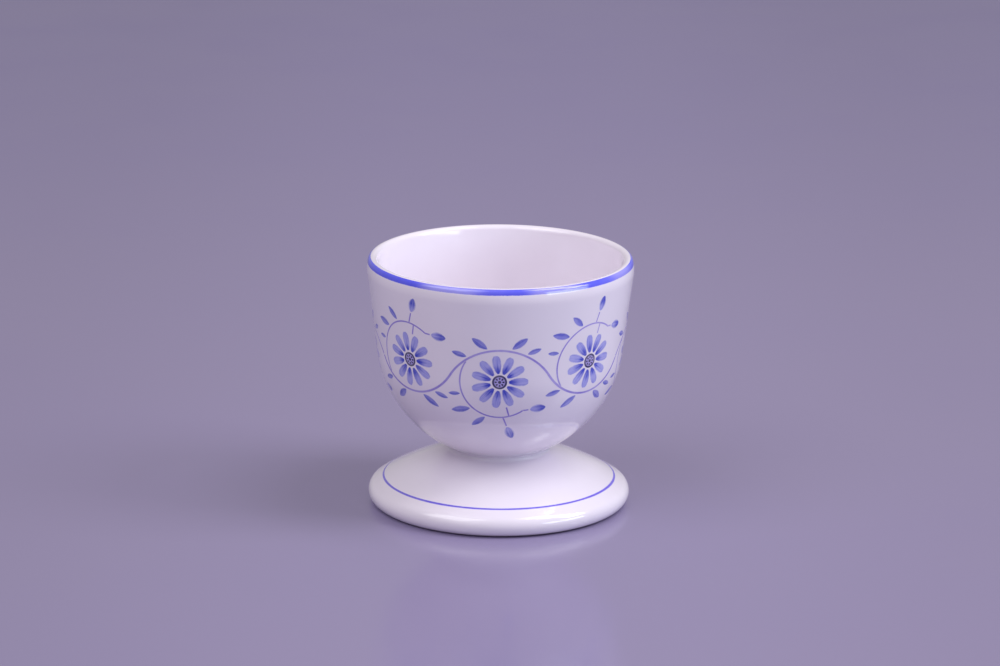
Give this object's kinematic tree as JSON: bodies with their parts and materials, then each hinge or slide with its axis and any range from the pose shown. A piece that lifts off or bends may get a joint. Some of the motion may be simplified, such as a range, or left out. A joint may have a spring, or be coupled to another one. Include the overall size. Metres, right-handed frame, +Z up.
{
  "type": "egg cup",
  "caption": "Footed porcelain egg cup: a round bowl on a domed disc foot, with a blue rim band, a blue foot line and a blue scrolling daisy print round the bowl.",
  "frame": {"origin": "centre of the standing ring, on the surface that the cup rests on", "axes": "+Z up along the cup's axis of turning; +X and +Y are level, and +X runs through the middle of one bend of the scroll"},
  "size_m": [0.05, 0.05, 0.0475],
  "materials": {
    "porcelain": "glossy clear glaze over white porcelain",
    "foot_porcelain": "glossy clear glaze, bare on the standing ring",
    "slip": "glossy clear glaze pooled in the joint",
    "rim_blue": "glossy fired cobalt colour",
    "line_blue": "glossy fired cobalt colour",
    "stem_blue": "thin fired transfer colour",
    "leaf_blue": "thin fired transfer colour",
    "petal_blue": "thin fired transfer colour",
    "heart_blue": "thin fired transfer colour",
    "bud_blue": "thin fired transfer colour"
  },
  "bodies": {
    "root": {"bowl": "porcelain", "foot": "foot_porcelain", "slip_joint": "slip", "rim_band": "rim_blue", "foot_line": "line_blue", "scroll_stems": "stem_blue", "scroll_leaves": "leaf_blue", "daisy_petals": "petal_blue", "daisy_hearts": "heart_blue", "flower_buds": "bud_blue"}
  },
  "joints": []
}
